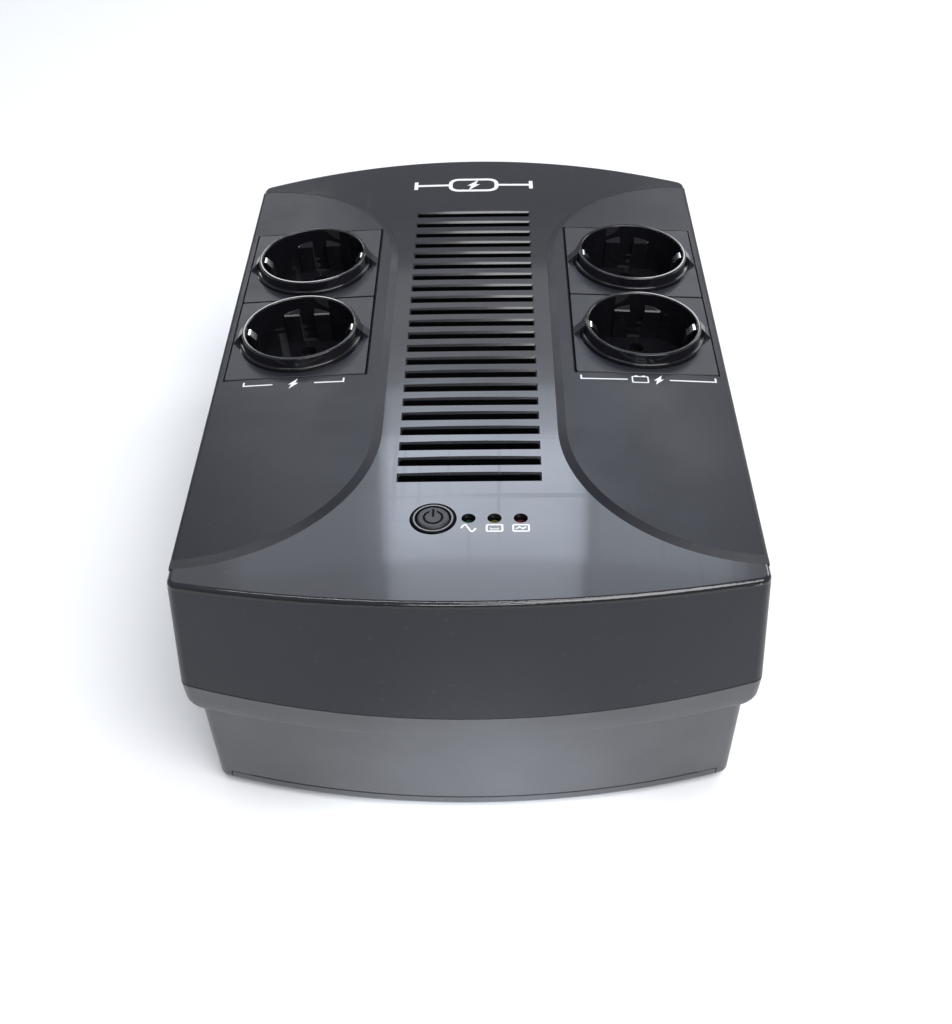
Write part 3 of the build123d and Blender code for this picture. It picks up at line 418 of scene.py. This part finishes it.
# case and covers
material(shell, "shell_dark", (0.0135, 0.0140, 0.0195), rough=0.35, grain=3000.0, depth=0.000012, spread=0.10,
         spec=0.30)
material(slotted, "panel_gloss", (0.010, 0.010, 0.013), rough=0.10, coat=0.5, marks=0.06)
material(moulded, "housing_grey", (0.064, 0.065, 0.071), rough=0.40, grain=2400.0, spread=0.20)
material(rubber, "foot_rubber", (0.012, 0.012, 0.012))
material(metal, "zinc_steel", (0.55, 0.56, 0.56), rough=0.30)

# outlets
material(outlet, "outlet_gloss", (0.006, 0.006, 0.008), spec=0.45)
material(moulded, "black_nylon", (0.014, 0.014, 0.016), rough=0.48, grain=1800.0)
material(metal, "contact_brass", (0.70, 0.48, 0.17), rough=0.26)
material(metal, "spring_metal", (0.80, 0.80, 0.78), rough=0.14, brush=(1.0, 1.0, 0.05), tarnish=0.10)

# controls
# the light ring on the bezel is a painted highlight
material(control, "bezel_black", (0.002, 0.002, 0.003), node="button_bezel", ring=(5.9, 6.35),
         line_color=(0.24, 0.24, 0.25), line_rough=0.3, rough=0.22, spec=0.03)
material(control, "button_black", (0.030, 0.031, 0.035), node="power_button", ring=(2.5, 3.3),
         line_color=(0.002, 0.002, 0.002), line_rough=1.0, rough=0.26, spec=0.26, stem=(0.36, 0.2, 3.9, 1.224))
material(lens, "lens_green", (0.02, 0.10, 0.055), (0.004, 0.03, 0.014))
material(lens, "lens_yellow", (0.20, 0.17, 0.012), (0.06, 0.045, 0.004))
material(lens, "lens_red", (0.16, 0.022, 0.02), (0.04, 0.004, 0.004))
material(lens, "led_epoxy", (0.85, 0.86, 0.84), (0.65, 0.66, 0.64))

# power section
material(board, "circuit_board", (0.012, 0.10, 0.035))
material(moulded, "battery_plastic", (0.05, 0.05, 0.055), rough=0.5, grain=1500.0, depth=0.00003)
material(laminated, "lamination_steel", (0.22, 0.22, 0.24), rust=(0.16, 0.08, 0.04))
material(moulded, "bobbin_nylon", (0.70, 0.67, 0.58), grain=1500.0)
material(winding, "winding_tape", (0.70, 0.46, 0.06))
material(metal, "heat_sink_aluminium", (0.62, 0.63, 0.65), rough=0.34)
material(moulded, "chip_black", (0.016, 0.016, 0.017), rough=0.55, grain=2500.0)
material(glossy, "relay_plastic", (0.02, 0.05, 0.24), rough=0.28, coat=0.2)
material(glossy, "capacitor_sleeve", (0.01, 0.02, 0.10), rough=0.25, coat=0.3)
material(glossy, "film_epoxy", (0.62, 0.34, 0.03), rough=0.30, coat=0.2)
material(clear_glass, "fuse_glass", (0.9, 0.93, 0.93))

# back panel
material(metal, "nickel_plate", (0.66, 0.63, 0.57), rough=0.20, tarnish=0.15)
material(glossy, "breaker_cap", (0.02, 0.02, 0.022), rough=0.25, coat=0.3)
material(metal, "gold_contact", (0.85, 0.60, 0.20), rough=0.18, tarnish=0.08)

# leads
for lead, lead_color in (
    ("lead_red", (0.42, 0.01, 0.01)), ("lead_black", (0.01, 0.01, 0.01)), ("lead_blue", (0.01, 0.08, 0.38)),
    ("lead_brown", (0.12, 0.04, 0.015)), ("lead_earth", (0.22, 0.42, 0.02)),
):
    material(glossy, lead, lead_color, rough=0.35, coat=0.1)

INK = ink("print_white", (0.82, 0.83, 0.84))

for node_name, node_object in NODES.items():
    dressing = MATERIALS[SLOT_OF[node_name]]
    slots = node_object.data.materials
    for i in range(len(slots)):
        slots[i] = dressing
    if not slots:
        slots.append(dressing)


# ------------------------------------------------------------ printed marks, sizes in millimetres
PRINT_FACES = (0.005, 0.035)           # underside and top of the ink, above the deck
ICON = (4.9, 3.0)                      # width and height of the icons under the lights
ICON_LINE = 0.6
ICON_DROP = 4.7                        # from the lights to the icons
BRACKET_DROP = 4.2                     # from the outlet plates to the marks below them
BRACKET_INNER = 7.5                    # where the bracket under a pair of outlets begins
BRACKET_TICK = 2.2
PLUG_BODY = (20.0, 10.0)
PLUG_REACH = 25.0                      # half the length of the plug mark
PLUG_DROP = 23.5                       # from the back of the panel to the plug mark


def deck_height(x, top):
    """Height of the barrel-shaped deck whose crown is at top."""
    return top - CROWN_R + math.sqrt(CROWN_R * CROWN_R - x * x)


class Marks:
    """Thin printed shapes laid on the deck, one mesh per group."""

    def __init__(self, top):
        self.top = top
        self.verts = []
        self.faces = []

    def polygon(self, points):
        """Flat convex shape."""
        low = len(self.verts)
        n = len(points)
        for lift in PRINT_FACES:
            for x, y in points:
                z = deck_height(x * MM, self.top) + lift * MM
                self.verts.append((x * MM, y * MM, z))
        self.faces.append(tuple(low + n + i for i in range(n)))
        self.faces.append(tuple(low + i for i in reversed(range(n))))
        for i in range(n):
            j = (i + 1) % n
            self.faces.append((low + i, low + j, low + n + j, low + n + i))

    def stroke(self, points, width, closed=False):
        """Line of constant width made of overlapping mitred pieces."""
        pts = [Vector(p) for p in points]
        count = len(pts)
        sides = []
        for i, p in enumerate(pts):
            before = pts[i - 1] if (i or closed) else None
            after = pts[(i + 1) % count] if (i + 1 < count or closed) else None
            d0 = (p - before).normalized() if before is not None else (after - p).normalized()
            d1 = (after - p).normalized() if after is not None else d0
            n0 = Vector((-d0.y, d0.x))
            n1 = Vector((-d1.y, d1.x))
            mitre = (n0 + n1).normalized()
            mitre = mitre * (width / 2 / max(0.35, mitre.dot(n1)))
            sides.append((p + mitre, p - mitre))
        for i in range(count if closed else count - 1):
            a, b = sides[i], sides[(i + 1) % count]
            self.polygon([a[1], b[1], b[0], a[0]])

    def build(self, name):
        mesh = bpy.data.meshes.new(name)
        mesh.from_pydata(self.verts, [], self.faces)
        mesh.validate()
        mesh.materials.append(INK)
        obj = bpy.data.objects.new(name, mesh)
        bpy.context.scene.collection.objects.link(obj)
        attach(obj, "case")


def rounded_box(cx, cy, w, h, r, steps=4):
    pts = []
    for sx, sy, start in ((1, 1, 0), (-1, 1, 90), (-1, -1, 180), (1, -1, 270)):
        for k in range(steps + 1):
            a = math.radians(start + 90 * k / steps)
            pts.append((cx + sx * (w / 2 - r) + r * math.cos(a), cy + sy * (h / 2 - r) + r * math.sin(a)))
    return pts


def sine(cx, cy, w, h, steps=12):
    ramp = [i / steps for i in range(steps + 1)]
    return [(cx - w / 2 + w * k, cy + h / 2 * math.sin(2 * math.pi * k)) for k in ramp]


def bolt(marks, cx, cy, s):
    """Lightning flash of height s."""
    for k in (1, -1):
        marks.polygon([(cx + k * 0.24 * s, cy + k * 0.52 * s), (cx - k * 0.32 * s, cy - k * 0.07 * s),
                       (cx + k * 0.08 * s, cy - k * 0.07 * s)])


def battery(marks, cx, cy, w, h):
    """Battery outline with its two posts."""
    marks.stroke(rounded_box(cx, cy, w, h, 0.3), 0.5, closed=True)
    for s in (-1, 1):
        marks.polygon(rounded_box(cx + s * w * 0.24, cy + h / 2 + 0.45, 1.1, 0.5, 0.1, 1))


def status_marks():
    """Mains, battery and fault icons under the three lights."""
    marks = Marks(PANEL_TOP)
    mains_x, y = centre("light_pipe_green")
    battery_x, _ = centre("light_pipe_yellow")
    fault_x, _ = centre("light_pipe_red")
    y -= ICON_DROP
    marks.stroke(sine(mains_x, y, 4.6, 3.2), ICON_LINE)
    for x in (battery_x, fault_x):
        marks.stroke(rounded_box(x, y, *ICON, 0.35), ICON_LINE, closed=True)
    tray = ((-1.2, 0.1), (-1.2, -0.5), (1.2, -0.5), (1.2, 0.1))
    marks.stroke([(battery_x + dx, y + dy) for dx, dy in tray], 0.35)
    zigzag = ((-1.6, -0.5), (-0.5, 0.5), (0.5, -0.4), (1.6, 0.5))
    marks.stroke([(fault_x + dx, y + dy) for dx, dy in zigzag], 0.5)
    marks.build("status_icons")


def wing_marks():
    """Which outlets are protected only, and which are backed up, as pictograms."""
    marks = Marks(WING_TOP)
    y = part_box("outlet_front_left")[0].y / MM - BRACKET_DROP
    left, _ = centre("outlet_front_left")
    right, _ = centre("outlet_front_right")
    for x, half in ((left, 18.0), (right, 24.0)):
        for s in (-1, 1):
            end = x + s * half
            marks.stroke([(x + s * BRACKET_INNER, y), (end, y), (end, y + BRACKET_TICK)], ICON_LINE)
    bolt(marks, left, y, 5.6)
    battery(marks, right - 3.0, y, 5.6, 3.5)
    bolt(marks, right + 3.6, y, 5.4)
    marks.build("outlet_icons")


def plug_mark():
    """Plug-and-flash pictogram in the back field."""
    marks = Marks(PANEL_TOP)
    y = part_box("centre_panel")[1].y / MM - PLUG_DROP
    marks.stroke(rounded_box(0.0, y, *PLUG_BODY, 3.6), 1.7, closed=True)
    for end in (-PLUG_REACH, PLUG_REACH):
        start = math.copysign(PLUG_BODY[0] / 2 + 0.6, end)
        marks.stroke([(start, y), (end, y)], 1.6)
        marks.stroke([(end, y - 3.4), (end, y + 3.4)], 1.6)
    bolt(marks, 0.0, y, 8.6)
    marks.build("back_icon")


status_marks()
wing_marks()
plug_mark()


# ------------------------------------------------------------ stage, light and camera
FLOOR_HALF = 6.0
FLOOR_DROP = 0.0002                    # the floor lies just clear of the pads
WHITE = (1.0, 1.0, 1.0)
SKY = (0.78, 0.86, 1.0)
ROOM_COLOR = (0.86, 0.90, 1.0, 1.0)
ROOM_STRENGTH = 0.38
DECK_Y, DECK_Z = -0.09, 0.099          # the part of the deck that the ceiling bays face

# Place and width of each ceiling bay across X, then the radiance of its near and its wide light
CEILING_BAYS = ((-0.30, 0.24, 0.35, 0.35), (0.0, 0.325, 2.9, 2.0), (0.30, 0.24, 0.95, 0.75))

LENS = 48.36
SENSOR_WIDTH = 36.0
PITCH, YAW, ROLL = (math.radians(v) for v in (40.868, -1.203, 1.321))
EYE = Vector((0.00927, -0.4301, 0.3849))


def place(name, data, location, target):
    """Put a light in the scene, pointing at target."""
    obj = bpy.data.objects.new(name, data)
    obj.location = location
    obj.rotation_euler = (Vector(target) - Vector(location)).to_track_quat("-Z", "Y").to_euler()
    bpy.context.scene.collection.objects.link(obj)


def floor():
    mesh = bpy.data.meshes.new("floor")
    s = FLOOR_HALF
    mesh.from_pydata([(-s, -s, 0), (s, -s, 0), (s, s, 0), (-s, s, 0)], [], [(0, 1, 2, 3)])
    t = Tree("floor_white")
    cloud = t.span(t.noise(3.0), 0.0, 1.0)
    mesh.materials.append(t.set(Base_Color=t.mix(cloud, (0.93, 0.93, 0.93), (0.96, 0.96, 0.96)), Roughness=0.9))
    obj = bpy.data.objects.new("floor", mesh)
    obj.location = (0, 0, -FLOOR_DROP)
    bpy.context.scene.collection.objects.link(obj)


def softbox(name, location, target, size_x, size_y, power, color=WHITE):
    light = bpy.data.lights.new(name, "AREA")
    light.shape = "RECTANGLE"
    light.size = size_x
    light.size_y = size_y
    light.energy = power
    light.color = color
    place(name, light, location, target)


def panel_light(name, location, target, size_x, size_y, radiance, color=WHITE):
    """Softbox whose brightness is given, whatever its size."""
    softbox(name, location, target, size_x, size_y, math.pi * size_x * size_y * radiance, color)


def spot(name, location, target, angle, power, color):
    light = bpy.data.lights.new(name, "SPOT")
    light.spot_size = math.radians(angle)
    light.spot_blend = 1.0
    light.shadow_soft_size = 0.02
    light.energy = power
    light.color = color
    place(name, light, location, target)


def ceiling():
    """The ceiling behind the object, as the gloss panel mirrors it: three bays with dark joints."""
    for i, (x, width, near, wide) in enumerate(CEILING_BAYS):
        target = (x, DECK_Y, DECK_Z)
        panel_light(f"ceiling_near_{i}", (x, 0.82, 0.87), target, width, 0.15, near, SKY)
        panel_light(f"ceiling_wide_{i}", (x, 0.86, 0.97), target, width, 0.38, wide, SKY)
    panel_light("ceiling_glow", (0.0, 0.95, 0.95), (0.0, -0.05, 0.099), 1.3, 0.55, 0.62, (0.88, 0.93, 1.0))


def lamps():
    """Glints in the outlets, light along the edges, and soft light from the front."""
    for i, x in enumerate((-0.27, 0.27)):
        panel_light(f"spark_{i}", (x, 0.82, 0.575), (x / 4, 0.03, 0.095), 0.13, 0.09, 9.0)
    panel_light("overhead_strip", (0.0, -0.10, 1.25), (0.0, -0.12, 0.1), 1.3, 0.10, 10.0)
    panel_light("right_glow", (0.75, 0.62, 0.62), (0.06, 0.0, 0.095), 0.45, 0.35, 4.5, (0.95, 0.97, 1.0))
    softbox("front_fill", (0.0, -0.70, 0.42), (0.0, -0.15, 0.02), 0.25, 0.2, 0.9, (0.90, 0.94, 1.0))
    spot("front_glow", (0.0, -0.90, 0.45), (0.004, -0.145, 0.006), 8.4, 30.0, (0.84, 0.91, 1.0))
    softbox("key", (0.55, -0.75, 1.35), (0.0, 0.0, 0.05), 1.0, 1.0, 18.0)


def world():
    """Even studio surround: pale behind the object, dimmer for what the gloss mirrors."""
    w = bpy.data.worlds.new("studio")
    bpy.context.scene.world = w
    w.use_nodes = True
    nt = w.node_tree
    room = nt.nodes["Background"]
    room.inputs["Color"].default_value = ROOM_COLOR
    room.inputs["Strength"].default_value = ROOM_STRENGTH
    back = nt.nodes.new("ShaderNodeBackground")
    back.inputs["Color"].default_value = (*WHITE, 1.0)
    back.inputs["Strength"].default_value = 1.0
    path = nt.nodes.new("ShaderNodeLightPath")
    pick = nt.nodes.new("ShaderNodeMixShader")
    nt.links.new(path.outputs["Is Camera Ray"], pick.inputs[0])
    nt.links.new(room.outputs[0], pick.inputs[1])
    nt.links.new(back.outputs[0], pick.inputs[2])
    nt.links.new(pick.outputs[0], nt.nodes["World Output"].inputs["Surface"])


def camera():
    data = bpy.data.cameras.new("camera")
    data.lens = LENS
    data.sensor_width = SENSOR_WIDTH
    data.clip_start = 0.01
    obj = bpy.data.objects.new("camera", data)
    fwd = Vector((math.sin(YAW) * math.cos(PITCH), math.cos(YAW) * math.cos(PITCH), -math.sin(PITCH)))
    right = Vector((math.cos(YAW), -math.sin(YAW), 0))
    down = fwd.cross(right)
    across = math.cos(ROLL) * right + math.sin(ROLL) * down
    below = -math.sin(ROLL) * right + math.cos(ROLL) * down
    m = Matrix((across, -below, -fwd)).transposed().to_4x4()
    m.translation = EYE
    obj.matrix_world = m
    bpy.context.scene.collection.objects.link(obj)
    bpy.context.scene.camera = obj


floor()
world()
ceiling()
lamps()
camera()
bpy.context.scene.view_settings.view_transform = "Standard"
